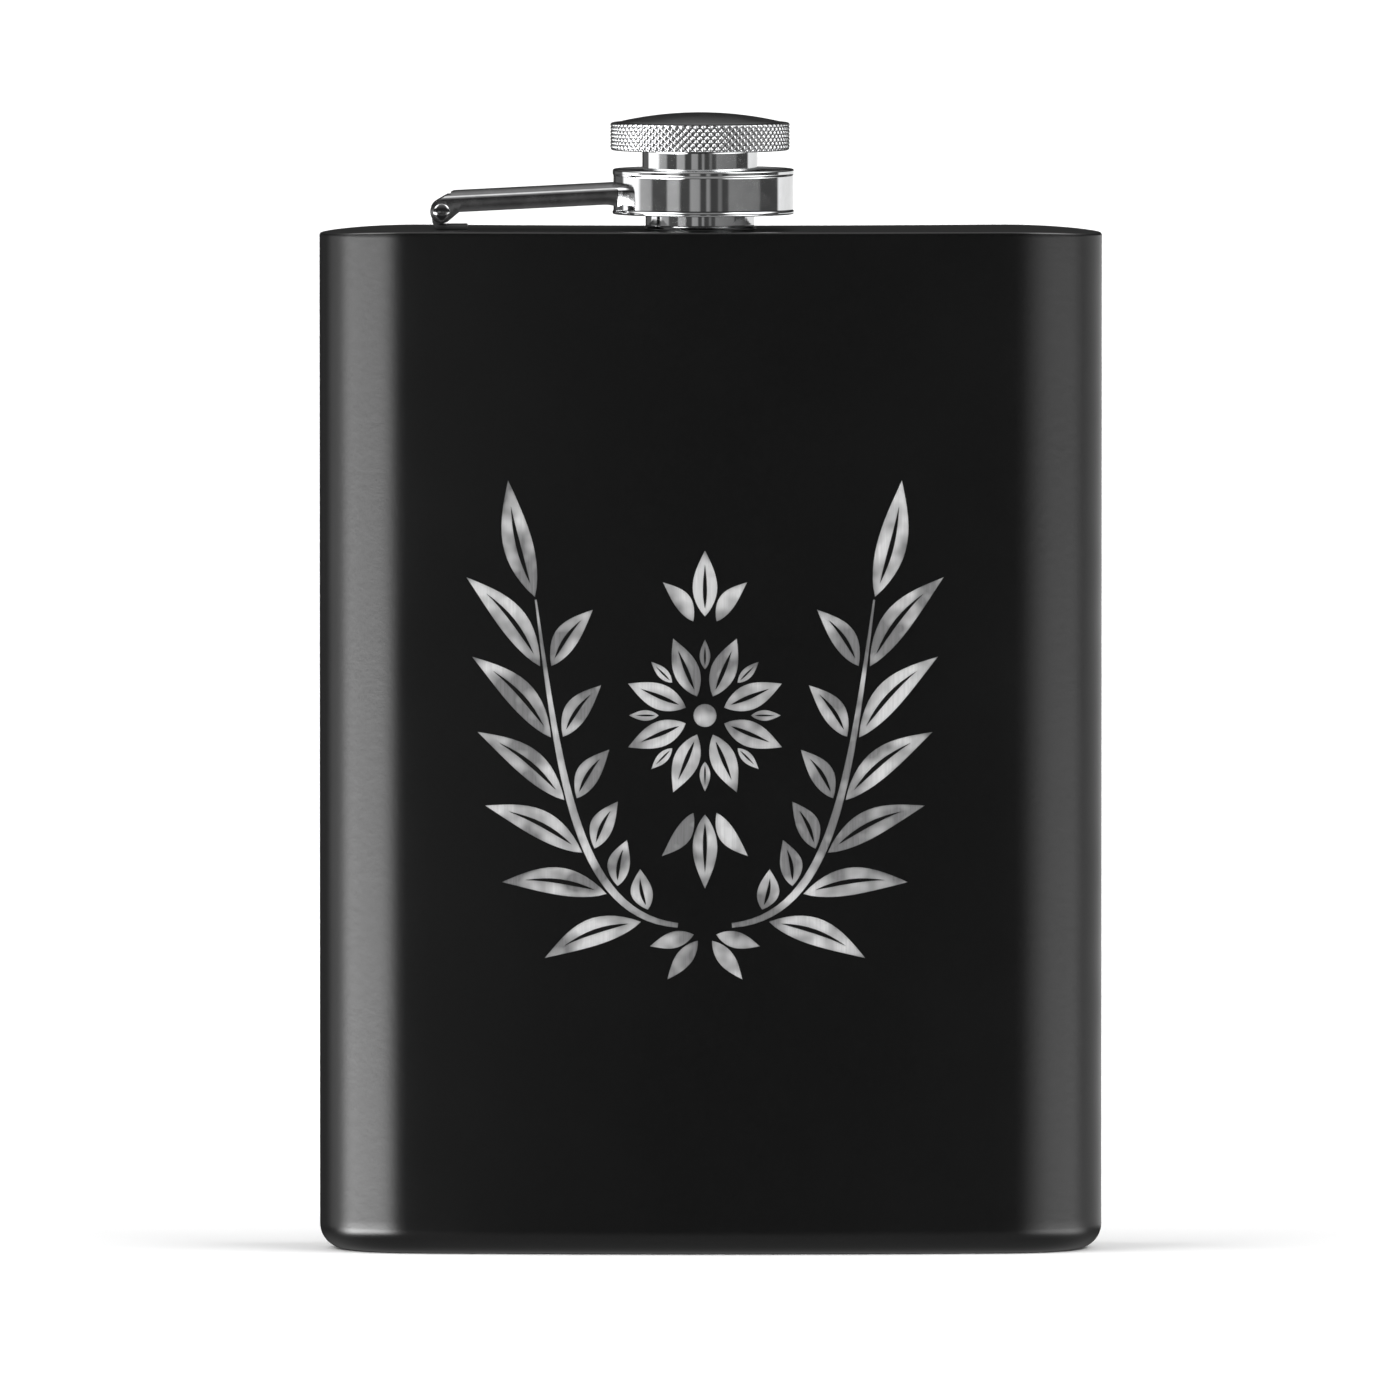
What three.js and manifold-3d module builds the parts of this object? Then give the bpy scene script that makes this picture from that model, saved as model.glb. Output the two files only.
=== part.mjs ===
// A pocket hip flask of about 8 fl oz (0.24 l): a curved, black coated steel body and a captive screw cap.
//
// Millimetres, +Z up. The origin is the centre of the body's footprint, on the surface it stands on.
// The body is convex towards -Y, the front, and hollowed towards +Y, where it lies against the hip.
// The cap hangs on a ring at the end of an arm, which turns on a pin near the left end of the top plate.

import * as THREE from "three";
import { mergeVertices } from "three/addons/utils/BufferGeometryUtils.js";
import Module from "manifold-3d";

// ---- Driving dimensions -------------------------------------------------------------------------------------

const BODY_WIDTH = 95;
const BODY_HEIGHT = 124; // to the top of the top plate
const SHEET = 0.6; // thickness of the body's steel sheet
const FRONT_RADIUS = 340; // gentle bulge of the front
const BACK_RADIUS = 170; // hollow of the back
const END_RADIUS = 12; // the two narrow sides
const BASE_CORNER = 3; // rounded lower edge
const BASE_RIM_HEIGHT = 4; // where the base pan meets the sleeve
const WELD_GAP = 0.02; // between pieces that are welded face to face

const PLATE_THICKNESS = 0.8;
const PLATE_EDGE = 0.5; // rounded upper edge
const PLATE_FLAT_HALF = 36; // the top plate is flat this far out, and falls away beyond
const PLATE_END_DROP = 0.5;

const NECK_X = -1.3; // the neck stands a little left of the middle
const NECK_BORE = 4.8; // radii
const NECK_SPIGOT = 6.1;
const NECK_SHOULDER = 6.6;
const NECK_CORE = 5.4;
const NECK_HEIGHT = 7.4;

const THREAD = { pitch: 1.5, turns: 1.4, depth: 0.6, rootWidth: 0.9, crestWidth: 0.3, stepsPerTurn: 24 };
const NECK_THREAD_START = 4.5; // centre of the ridge above the top plate
const RIDGE_ROOT_BITE = 0.15; // how far a ridge reaches into the wall that carries it

const SKIRT_RADIUS = 7;
const SKIRT_BORE = 6.25;
const SKIRT_BOTTOM = 2.25;
const CAP_RADIUS = 10.87;
const CAP_BOTTOM = 9.6; // underside of the knurled head
const CAP_RIM_TOP = 12.95;
const CAP_TOP = 14.15;
const CAP_WALL = 0.7;
const SEAL_THICKNESS = 1;
const WASHER_RADIUS = 8.9;
const WASHER_THICKNESS = 0.6;

const RING_RADIUS = 11;
const RING_SHIFT = 0.4; // the loose ring rests this far right of the neck's axis
const RING_HOLE = 7.6;
const RING_BOTTOM = 1.85;
const RING_TOP = 7.3;
const RING_WALL = 0.8;
const RING_WEB = 0.7;

const PIN_X = -32.6;
const PIN_HEIGHT = 2.2; // above the top plate
const PIN_RADIUS = 0.6;
const PIN_HOLE = 0.67;
const PIN_HEAD = 1;
const ARM_WIDTH = 6.6;
const ARM_SHEET = 0.6;
const ARM_TOP = 2.45; // above the pin, measured square to the arm
const ARM_UNDERSIDE = -0.15;
const ARM_CROWN = 0.85; // rise of the arched top
const ARM_SLOPE = THREE.MathUtils.degToRad(2.9);
const EAR_RADIUS = 1.4;
const KNUCKLE_RADIUS = 1.25;
const KNUCKLE_WIDTH = 4.8;
const PART_GAP = 0.1; // between the arm's end and the ring

const ROUND_STEPS = 48; // steps round a turned piece
const SMALL_STEPS = 24; // steps round a pin or its hole
const OUTLINE_STEPS = 8; // half the steps along each arc of the body's outline

// ---- Places worked out from them ----------------------------------------------------------------------------

// The outline is four arcs that touch. The end arcs lie inside the front arc and outside the back arc.
const END_X = BODY_WIDTH / 2 - END_RADIUS;
const FRONT_HALF_ANGLE = Math.asin(END_X / (FRONT_RADIUS - END_RADIUS));
const BACK_HALF_ANGLE = Math.asin(END_X / (BACK_RADIUS + END_RADIUS));
const FRONT_TO_END = FRONT_RADIUS - (FRONT_RADIUS - END_RADIUS) * Math.cos(FRONT_HALF_ANGLE);
const FRONT_Y = -(FRONT_TO_END + END_RADIUS) / 2;
const END_Y = FRONT_Y + FRONT_TO_END;
const FRONT_CENTRE_Y = FRONT_Y + FRONT_RADIUS;
const BACK_CENTRE_Y = END_Y + (BACK_RADIUS + END_RADIUS) * Math.cos(BACK_HALF_ANGLE);
const BACK_Y = BACK_CENTRE_Y - BACK_RADIUS;
const NECK_Y = (FRONT_Y + BACK_Y) / 2;
const RING_FROM_PIN = NECK_X + RING_SHIFT - PIN_X;
const LID_ORIGIN = [NECK_X, NECK_Y, BODY_HEIGHT];
const PIN_ORIGIN = [PIN_X, NECK_Y, BODY_HEIGHT + PIN_HEIGHT];

// ---- Materials ----------------------------------------------------------------------------------------------

const blackCoat = new THREE.MeshStandardMaterial({ color: 0x17181a, roughness: 0.42, metalness: 0.1 });
const polishedSteel = new THREE.MeshStandardMaterial({ color: 0xc9cbcd, roughness: 0.12, metalness: 1 });
const knurledSteel = new THREE.MeshStandardMaterial({ color: 0xbfc1c3, roughness: 0.25, metalness: 1 });
const silicone = new THREE.MeshStandardMaterial({ color: 0xe4e4e0, roughness: 0.6, metalness: 0 });

// ---- Booleans -----------------------------------------------------------------------------------------------

const wasm = await Module();
wasm.setup();

function solid(geometry) {
  const bare = geometry.index ? geometry.toNonIndexed() : geometry.clone();
  bare.deleteAttribute("normal");
  bare.deleteAttribute("uv");
  const merged = mergeVertices(bare, 1e-4);
  return new wasm.Manifold(
    new wasm.Mesh({
      numProp: 3,
      vertProperties: merged.attributes.position.array,
      triVerts: new Uint32Array(merged.index.array),
    }),
  );
}

function geometryOf(manifold) {
  const { vertProperties, triVerts } = manifold.getMesh();
  const geometry = new THREE.BufferGeometry();
  geometry.setAttribute("position", new THREE.BufferAttribute(new Float32Array(vertProperties), 3));
  geometry.setIndex(new THREE.BufferAttribute(new Uint32Array(triVerts), 1));
  geometry.computeVertexNormals();
  return geometry;
}

// ---- Shared shapes ------------------------------------------------------------------------------------------

/** The body's outline seen from above, moved inwards by inset. */
function bodyOutline(inset, Outline = THREE.Shape) {
  const outline = new Outline();
  const down = -Math.PI / 2;
  const up = Math.PI / 2;
  const end = END_RADIUS - inset;
  outline.absarc(0, FRONT_CENTRE_Y, FRONT_RADIUS - inset, down - FRONT_HALF_ANGLE, down + FRONT_HALF_ANGLE);
  outline.absarc(END_X, END_Y, end, down + FRONT_HALF_ANGLE, up + BACK_HALF_ANGLE);
  outline.absarc(0, BACK_CENTRE_Y, BACK_RADIUS + inset, down + BACK_HALF_ANGLE, down - BACK_HALF_ANGLE, true);
  outline.absarc(-END_X, END_Y, end, up - BACK_HALF_ANGLE, Math.PI * 1.5 - FRONT_HALF_ANGLE);
  return outline;
}

/** The body's outline as a straight block between two heights. */
function bodyBlock(inset, bottom, top) {
  const block = new THREE.ExtrudeGeometry(bodyOutline(inset), {
    depth: top - bottom,
    bevelEnabled: false,
    curveSegments: OUTLINE_STEPS,
  });
  return block.translate(0, 0, bottom);
}

/** The body's outline as a block whose upper and lower edges are rounded. */
function roundedBodyBlock(inset, bottom, top, edge, edgeSteps) {
  const block = new THREE.ExtrudeGeometry(bodyOutline(inset + edge), {
    depth: top - bottom - 2 * edge,
    bevelSize: edge,
    bevelThickness: edge,
    bevelSegments: edgeSteps,
    curveSegments: OUTLINE_STEPS,
  });
  return block.translate(0, 0, bottom + edge);
}

/** A piece turned about Z, from its closed profile of [radius, height] points. */
function turned(profile, steps = ROUND_STEPS) {
  const points = profile.map(([radius, height]) => new THREE.Vector2(radius, height));
  if (profile[0][0] > 0) points.push(points[0].clone());
  return new THREE.LatheGeometry(points, steps).rotateX(Math.PI / 2);
}

/** A plate drawn in the XZ plane and extruded along Y, centred on it. */
function sidePlate(shape, width, curveSegments = 8) {
  const plate = new THREE.ExtrudeGeometry(shape, { depth: width, bevelEnabled: false, curveSegments });
  return plate.translate(0, 0, -width / 2).rotateX(Math.PI / 2);
}

/** One ridge of a right-hand screw thread, which fades into the wall at both ends. */
function threadRidge(wallRadius, crestRadius, startHeight) {
  const { pitch, turns, rootWidth, crestWidth, stepsPerTurn } = THREAD;
  const bite = Math.sign(wallRadius - crestRadius) * RIDGE_ROOT_BITE;
  const rootRadius = wallRadius + bite;
  const steps = Math.round(turns * stepsPerTurn);
  const fadeSteps = stepsPerTurn / 6;
  const positions = [];
  for (let i = 0; i <= steps; i++) {
    const angle = (i / stepsPerTurn) * 2 * Math.PI;
    const height = startHeight + (i / stepsPerTurn) * pitch;
    const full = Math.min(1, i / fadeSteps, (steps - i) / fadeSteps);
    const crest = THREE.MathUtils.lerp(wallRadius + bite / 2, crestRadius, full);
    const section = [
      [rootRadius, -rootWidth / 2],
      [crest, -crestWidth / 2],
      [crest, crestWidth / 2],
      [rootRadius, rootWidth / 2],
    ];
    for (const [radius, rise] of section) {
      positions.push(radius * Math.cos(angle), radius * Math.sin(angle), height + rise);
    }
  }
  const index = [];
  const quad = (a, b, c, d) => index.push(a, b, c, a, c, d);
  for (let i = 0; i < steps; i++) {
    for (let k = 0; k < 4; k++) {
      const here = 4 * i + k;
      const beside = 4 * i + ((k + 1) % 4);
      quad(here, here + 4, beside + 4, beside);
    }
  }
  quad(0, 1, 2, 3);
  quad(4 * steps + 3, 4 * steps + 2, 4 * steps + 1, 4 * steps);
  if (crestRadius < wallRadius) index.reverse();
  const geometry = new THREE.BufferGeometry();
  geometry.setAttribute("position", new THREE.Float32BufferAttribute(positions, 3));
  geometry.setIndex(index);
  return geometry;
}

// ---- Body ---------------------------------------------------------------------------------------------------

/** One sheet wrapped round and welded down one narrow side. */
function bodySleeve() {
  const outline = bodyOutline(0);
  outline.holes.push(bodyOutline(SHEET, THREE.Path));
  const bottom = BASE_RIM_HEIGHT + WELD_GAP;
  const top = BODY_HEIGHT - PLATE_THICKNESS - WELD_GAP;
  const sleeve = new THREE.ExtrudeGeometry(outline, {
    depth: top - bottom,
    bevelEnabled: false,
    curveSegments: OUTLINE_STEPS,
  });
  return sleeve.translate(0, 0, bottom);
}

/** A pressed pan with a rounded edge. Its middle is pressed up, so that the flask stands on a flat rim. */
function basePan() {
  const rimInset = 6;
  const panelRise = 0.5;
  const tall = 12;
  const outside = solid(roundedBodyBlock(0, 0, tall, BASE_CORNER, 5));
  const inside = solid(roundedBodyBlock(SHEET, SHEET, tall, BASE_CORNER - SHEET, 5));
  const panelAbove = solid(bodyBlock(rimInset - SHEET, SHEET / 2, SHEET + panelRise));
  const panelBelow = solid(bodyBlock(rimInset, -1, panelRise));
  const above = solid(bodyBlock(-1, BASE_RIM_HEIGHT, tall + 1));
  return geometryOf(outside.subtract(inside).subtract(above).add(panelAbove).subtract(panelBelow));
}

/** The welded top, flat where the neck and the hinge stand and falling a little at both ends. */
function topPlate() {
  const underside = BODY_HEIGHT - PLATE_THICKNESS;
  const deep = 3;
  const block = roundedBodyBlock(0, BODY_HEIGHT - deep, BODY_HEIGHT, PLATE_EDGE, 3);
  const position = block.attributes.position;
  const fallLength = BODY_WIDTH / 2 - PLATE_FLAT_HALF;
  for (let i = 0; i < position.count; i++) {
    const out = Math.max(0, Math.abs(position.getX(i)) - PLATE_FLAT_HALF) / fallLength;
    position.setZ(i, position.getZ(i) - PLATE_END_DROP * out * out);
  }
  const below = solid(bodyBlock(-1, underside - deep, underside));
  const hole = new THREE.CylinderGeometry(NECK_SPIGOT + 0.1, NECK_SPIGOT + 0.1, 4, ROUND_STEPS);
  hole.rotateX(Math.PI / 2).translate(NECK_X, NECK_Y, BODY_HEIGHT);
  return geometryOf(solid(block).subtract(below).subtract(solid(hole)));
}

/** The threaded neck: a spigot in the plate, a flared foot, a shoulder and the threaded spout. */
function neck() {
  const tube = turned([
    [NECK_BORE, -1.2],
    [NECK_SPIGOT, -1.2],
    [NECK_SPIGOT, WELD_GAP],
    [7.15, WELD_GAP],
    [7.15, 0.3],
    [6.75, 0.8],
    [NECK_SHOULDER, 1.2],
    [NECK_SHOULDER, 1.85],
    [6.4, 2.05],
    [NECK_CORE, 2.2],
    [NECK_CORE, 7.1],
    [5.2, 7.33],
    [5.08, NECK_HEIGHT],
    [4.98, NECK_HEIGHT],
    [NECK_BORE, 7.2],
  ]);
  const ridge = threadRidge(NECK_CORE, NECK_CORE + THREAD.depth, NECK_THREAD_START);
  return geometryOf(solid(tube).add(solid(ridge)));
}

// ---- Cap, in heights above the top plate ----------------------------------------------------------------------

/** The turned core of the cap: a flange inside the head, and the skirt with the inner thread. */
function capCore() {
  const ceiling = NECK_HEIGHT + SEAL_THICKNESS + 0.1;
  const flangeRadius = CAP_RADIUS - CAP_WALL - 0.1;
  const core = turned([
    [0, ceiling],
    [SKIRT_BORE, ceiling],
    [SKIRT_BORE, SKIRT_BOTTOM + 0.25],
    [SKIRT_BORE + 0.2, SKIRT_BOTTOM],
    [SKIRT_RADIUS - 0.1, SKIRT_BOTTOM],
    [SKIRT_RADIUS, SKIRT_BOTTOM + 0.1],
    [SKIRT_RADIUS, CAP_BOTTOM + 0.05],
    [flangeRadius, CAP_BOTTOM + 0.05],
    [flangeRadius, 11.3],
    [0, 11.3],
  ]);
  // Half a pitch below the neck's ridge, so the two run in mesh.
  const start = NECK_THREAD_START - THREAD.pitch / 2;
  const ridge = threadRidge(SKIRT_BORE, SKIRT_BORE - THREAD.depth, start);
  return geometryOf(solid(core).add(solid(ridge)));
}

/** The domed head, a pressed cup crimped over the core's flange. Its side is the knurled grip. */
function capShell() {
  const domeRadius = 9.9;
  const domeStart = CAP_RIM_TOP + 0.1;
  const domeRise = CAP_TOP - domeStart;
  const domePoints = 6;
  const dome = (scale, lift) =>
    Array.from({ length: domePoints }, (_, i) => {
      const share = i / (domePoints - 1);
      return [domeRadius * scale * share, domeStart + lift + domeRise * (1 - share * share)];
    });
  return turned([
    ...dome(0.96, -CAP_WALL),
    [CAP_RADIUS - CAP_WALL, CAP_RIM_TOP - CAP_WALL - 0.2],
    [CAP_RADIUS - CAP_WALL, CAP_BOTTOM],
    [CAP_RADIUS - 0.15, CAP_BOTTOM],
    [CAP_RADIUS, CAP_BOTTOM + 0.15],
    [CAP_RADIUS, CAP_RIM_TOP - 0.25],
    [CAP_RADIUS - 0.25, CAP_RIM_TOP],
    ...dome(1, 0).reverse(),
  ]);
}

/** The loose disc that the cap presses on the neck's lip. */
function capSeal() {
  const bottom = NECK_HEIGHT + 0.04;
  const top = bottom + SEAL_THICKNESS;
  return turned([
    [0, bottom],
    [5.9, bottom],
    [6, bottom + 0.1],
    [6, top - 0.1],
    [5.9, top],
    [0, top],
  ]);
}

/** The washer on the end of the skirt, which keeps the cap in the ring. */
function retainingWasher() {
  const bottom = SKIRT_BOTTOM + 0.05;
  const top = bottom + WASHER_THICKNESS;
  const inner = SKIRT_RADIUS + 0.04;
  return turned([
    [inner, bottom],
    [WASHER_RADIUS - 0.1, bottom],
    [WASHER_RADIUS, bottom + 0.1],
    [WASHER_RADIUS, top - 0.1],
    [WASHER_RADIUS - 0.1, top],
    [inner, top],
  ]);
}

/** The pressed ring round the skirt, an upside-down cup with a hole in its web. */
function lidRing() {
  const inside = RING_RADIUS - RING_WALL;
  return turned([
    [inside, RING_BOTTOM],
    [RING_RADIUS - 0.15, RING_BOTTOM],
    [RING_RADIUS, RING_BOTTOM + 0.15],
    [RING_RADIUS, RING_TOP - 0.35],
    [RING_RADIUS - 0.12, RING_TOP - 0.1],
    [RING_RADIUS - 0.35, RING_TOP],
    [RING_HOLE, RING_TOP],
    [RING_HOLE, RING_TOP - RING_WEB],
    [inside, RING_TOP - RING_WEB],
  ]);
}

// ---- Hinge, measured from the pin -----------------------------------------------------------------------------

/** The arm's section: two side walls under an arched top. */
function armSection() {
  const wallTop = ARM_TOP - ARM_CROWN;
  const outerHalf = ARM_WIDTH / 2;
  const innerHalf = outerHalf - ARM_SHEET;
  const floor = -2;
  const section = new THREE.Shape();
  section.moveTo(-outerHalf, floor);
  section.lineTo(-innerHalf, floor);
  section.lineTo(-innerHalf, wallTop - 0.1);
  section.quadraticCurveTo(-innerHalf * 0.75, ARM_TOP - ARM_SHEET, 0, ARM_TOP - ARM_SHEET);
  section.quadraticCurveTo(innerHalf * 0.75, ARM_TOP - ARM_SHEET, innerHalf, wallTop - 0.1);
  section.lineTo(innerHalf, floor);
  section.lineTo(outerHalf, floor);
  section.lineTo(outerHalf, wallTop);
  section.quadraticCurveTo(outerHalf * 0.75, ARM_TOP, 0, ARM_TOP);
  section.quadraticCurveTo(-outerHalf * 0.75, ARM_TOP, -outerHalf, wallTop);
  return section;
}

/** The arm's outline from the front: round ears at the pin, straight, then deeper where it meets the ring. */
function armSide(reach) {
  const side = new THREE.Shape();
  const leftOfTop = (2 * Math.PI) / 3;
  const rightOfFoot = (5 * Math.PI) / 3;
  side.moveTo(2.2, ARM_TOP + 0.1);
  side.absarc(0, 0, EAR_RADIUS, leftOfTop, rightOfFoot);
  side.lineTo(2.1, ARM_UNDERSIDE);
  side.lineTo(reach - 4, ARM_UNDERSIDE);
  side.quadraticCurveTo(reach - 2.2, ARM_UNDERSIDE, reach - 1.2, ARM_UNDERSIDE - 0.65);
  side.lineTo(reach, ARM_UNDERSIDE - 0.8);
  side.lineTo(reach, ARM_TOP + 0.1);
  return side;
}

/** The arm, a folded channel. Its side walls are the ears that turn on the pin. */
function lidArm() {
  const reach = RING_FROM_PIN - RING_RADIUS + 1.2;
  const channel = new THREE.ExtrudeGeometry(armSection(), {
    depth: reach + EAR_RADIUS + 1,
    bevelEnabled: false,
    curveSegments: 4,
  });
  channel.rotateX(Math.PI / 2).rotateZ(Math.PI / 2).translate(-EAR_RADIUS - 0.5, 0, 0);
  const side = sidePlate(armSide(reach), ARM_WIDTH + 1);
  const knuckleRoom = new THREE.BoxGeometry(3.6, ARM_WIDTH - 2 * ARM_SHEET, 4).translate(-0.6, 0, 1.7);
  const pinHole = new THREE.CylinderGeometry(PIN_HOLE, PIN_HOLE, ARM_WIDTH + 2, SMALL_STEPS);
  const ringRoom = new THREE.CylinderGeometry(RING_RADIUS + PART_GAP, RING_RADIUS + PART_GAP, 30, ROUND_STEPS);
  ringRoom.rotateX(Math.PI / 2).translate(RING_FROM_PIN, 0, 0);
  channel.rotateY(-ARM_SLOPE);
  side.rotateY(-ARM_SLOPE);
  knuckleRoom.rotateY(-ARM_SLOPE);
  const folded = solid(channel).intersect(solid(side));
  return geometryOf(folded.subtract(solid(knuckleRoom)).subtract(solid(pinHole)).subtract(solid(ringRoom)));
}

/** The bracket: a foot welded to the top plate, rolled up into the knuckle between the arm's ears. */
function hingeBracket() {
  const foot = -PIN_HEIGHT + WELD_GAP;
  const footTop = foot + ARM_SHEET;
  const footReach = 3.1;
  const shape = new THREE.Shape();
  shape.moveTo(-KNUCKLE_RADIUS, foot);
  shape.lineTo(footReach, foot);
  shape.lineTo(footReach, footTop);
  shape.lineTo(0.9, footTop);
  shape.absarc(0, 0, KNUCKLE_RADIUS, -Math.PI / 3, Math.PI);
  const hole = new THREE.Path();
  hole.absarc(0, 0, PIN_HOLE, 0, 2 * Math.PI);
  shape.holes.push(hole);
  return sidePlate(shape, KNUCKLE_WIDTH, SMALL_STEPS / 2);
}

/** The pin, a rivet with a low dome on both ends. Turned about Y. */
function hingePin() {
  const headStart = ARM_WIDTH / 2 + 0.06;
  const head = [
    [PIN_RADIUS, headStart],
    [PIN_HEAD, headStart],
    [PIN_HEAD, headStart + 0.12],
    [0.65 * PIN_HEAD, headStart + 0.32],
    [0, headStart + 0.4],
  ];
  const otherHead = head.map(([radius, along]) => [radius, -along]).reverse();
  return turned([...otherHead, ...head], SMALL_STEPS).rotateX(-Math.PI / 2);
}

// ---- Assembly -----------------------------------------------------------------------------------------------

function piece(name, geometry, material) {
  const mesh = new THREE.Mesh(geometry, material);
  mesh.name = name;
  return mesh;
}

const body = new THREE.Group();
body.add(
  piece("body_sleeve", bodySleeve(), blackCoat),
  piece("base_pan", basePan(), blackCoat),
  piece("top_plate", topPlate(), blackCoat),
);

const lid = new THREE.Group();
lid.position.set(...LID_ORIGIN);
lid.add(
  piece("neck", neck(), polishedSteel),
  piece("cap_core", capCore(), polishedSteel),
  piece("cap_shell", capShell(), knurledSteel),
  piece("cap_seal", capSeal(), silicone),
  piece("cap_retaining_washer", retainingWasher(), polishedSteel),
);
const ring = piece("lid_ring", lidRing(), polishedSteel);
ring.position.x = RING_SHIFT;
lid.add(ring);

const hinge = new THREE.Group();
hinge.position.set(...PIN_ORIGIN);
hinge.add(
  piece("lid_arm", lidArm(), polishedSteel),
  piece("hinge_bracket", hingeBracket(), polishedSteel),
  piece("hinge_pin", hingePin(), polishedSteel),
);

const flask = new THREE.Group();
flask.add(body, lid, hinge);

export default flask;
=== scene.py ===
"""The looks of a hip flask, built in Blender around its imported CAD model.

Every piece is made here in millimetres, in the frame's own axes, and scaled to metres once it is whole.
Each one stands for the CAD node of the same shape, with a finer surface and a procedural material.
"""

import math

import bmesh
import bpy
from mathutils import Matrix, Vector
from mathutils.geometry import delaunay_2d_cdt


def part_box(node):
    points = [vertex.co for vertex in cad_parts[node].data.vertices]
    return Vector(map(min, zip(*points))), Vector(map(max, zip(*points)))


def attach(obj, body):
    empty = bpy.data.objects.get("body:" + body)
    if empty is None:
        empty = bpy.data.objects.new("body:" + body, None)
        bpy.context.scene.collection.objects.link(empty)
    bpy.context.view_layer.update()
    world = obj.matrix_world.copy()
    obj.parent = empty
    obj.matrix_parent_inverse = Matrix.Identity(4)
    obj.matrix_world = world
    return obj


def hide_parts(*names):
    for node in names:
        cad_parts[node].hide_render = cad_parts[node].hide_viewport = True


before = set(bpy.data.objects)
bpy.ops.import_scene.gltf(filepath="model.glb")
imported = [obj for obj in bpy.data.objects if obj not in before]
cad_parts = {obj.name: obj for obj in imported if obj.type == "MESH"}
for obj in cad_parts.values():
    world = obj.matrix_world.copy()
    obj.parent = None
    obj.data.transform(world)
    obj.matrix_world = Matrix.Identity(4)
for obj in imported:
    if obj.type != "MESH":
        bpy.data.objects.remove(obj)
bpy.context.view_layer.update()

MM = 0.001

# ---- Driving dimensions, in millimetres, as on the CAD model -------------------------------------

SHEET = 0.6
FRONT_RADIUS = 340
BACK_RADIUS = 170
END_RADIUS = 12
BASE_CORNER = 3
BASE_RIM_HEIGHT = 4
PANEL_INSET = 6
PANEL_RISE = 0.5
PLATE_THICKNESS = 0.8
PLATE_HOLE = 6.2
PLATE_EDGE = 0.3
PLATE_FLAT_HALF = 36
PLATE_END_DROP = 0.5

# The feet of the neck and the bracket stand this far off the plate, so that the faces don't coincide.
FOOT_GAP = 0.02
NECK_BORE = 4.8
NECK_CORE = 5.4
SKIRT_RADIUS = 7
SKIRT_BORE = 6.25
THREAD_PITCH = 1.5
THREAD_TURNS = 1.4
THREAD_DEPTH = 0.6
NECK_THREAD_START = 4.5
CAP_RADIUS = 10.87
RING_RADIUS = 11
RING_HOLE = 7.6
PIN_RADIUS = 0.6
PIN_HOLE = 0.67
PIN_HEAD = 1
ARM_WIDTH = 6.6
ARM_SHEET = 0.6
ARM_TOP = 2.45
ARM_UNDERSIDE = -0.15
ARM_CROWN = 0.85
ARM_SLOPE = math.radians(2.9)
EAR_RADIUS = 1.4
KNUCKLE_RADIUS = 1.25
KNUCKLE_WIDTH = 4.8

KNURL_COLUMNS = 78
KNURL_DEPTH = 0.24
ENGRAVING_DEPTH = 0.07
ORNAMENT_CENTRE = (-0.7, 65.5)

# ---- Places read from the frame, in millimetres --------------------------------------------------


def middle(node):
    """The middle of the node's box."""
    low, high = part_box(node)
    return (low + high) / 2 / MM


PLATE_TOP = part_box("top_plate")[1].z / MM
SLEEVE_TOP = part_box("body_sleeve")[1].z / MM


def heights(node):
    """The node's lowest and highest points, measured from the top plate."""
    return [corner.z / MM - PLATE_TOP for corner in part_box(node)]


NECK = Vector((middle("neck").x, middle("neck").y, PLATE_TOP))
NECK_HEIGHT = heights("neck")[1]
RING = Vector((middle("lid_ring").x, NECK.y, PLATE_TOP))
PIN = middle("hinge_pin")
PIN_LENGTH = (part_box("hinge_pin")[1].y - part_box("hinge_pin")[0].y) / MM


# ---- Mesh making ---------------------------------------------------------------------------------


def new_object(name, points, faces):
    mesh = bpy.data.meshes.new(name)
    mesh.from_pydata([tuple(point) for point in points], [], faces)
    obj = bpy.data.objects.new(name, mesh)
    bpy.context.scene.collection.objects.link(obj)
    return obj


def tidy(obj):
    """Welds the seams, drops faces with no area and turns every face outwards."""
    bm = bmesh.new()
    bm.from_mesh(obj.data)
    bmesh.ops.remove_doubles(bm, verts=bm.verts, dist=1e-4)
    bmesh.ops.dissolve_degenerate(bm, edges=bm.edges, dist=1e-5)
    bmesh.ops.recalc_face_normals(bm, faces=bm.faces)
    if bm.calc_volume(signed=True) < 0:
        bmesh.ops.reverse_faces(bm, faces=bm.faces)
    bm.to_mesh(obj.data)
    bm.free()
    return obj


def with_modifier(obj, kind, **settings):
    """The object's mesh as a modifier makes it."""
    modifier = obj.modifiers.new(kind.lower(), kind)
    for setting, value in settings.items():
        setattr(modifier, setting, value)
    evaluated = obj.evaluated_get(bpy.context.evaluated_depsgraph_get())
    mesh = bpy.data.meshes.new_from_object(evaluated)
    obj.modifiers.clear()
    obj.data = mesh
    return obj


def combined(obj, tool, operation):
    """The object joined with, cut by or kept inside a tool, which is then gone."""
    with_modifier(obj, "BOOLEAN", object=tool, operation=operation, solver="EXACT")
    bpy.data.objects.remove(tool)
    return obj


def eased(obj, width):
    """The object with its sharp edges rounded."""
    return with_modifier(
        obj,
        "BEVEL",
        width=width,
        segments=3,
        limit_method="ANGLE",
        angle_limit=math.radians(38),
    )


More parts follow.
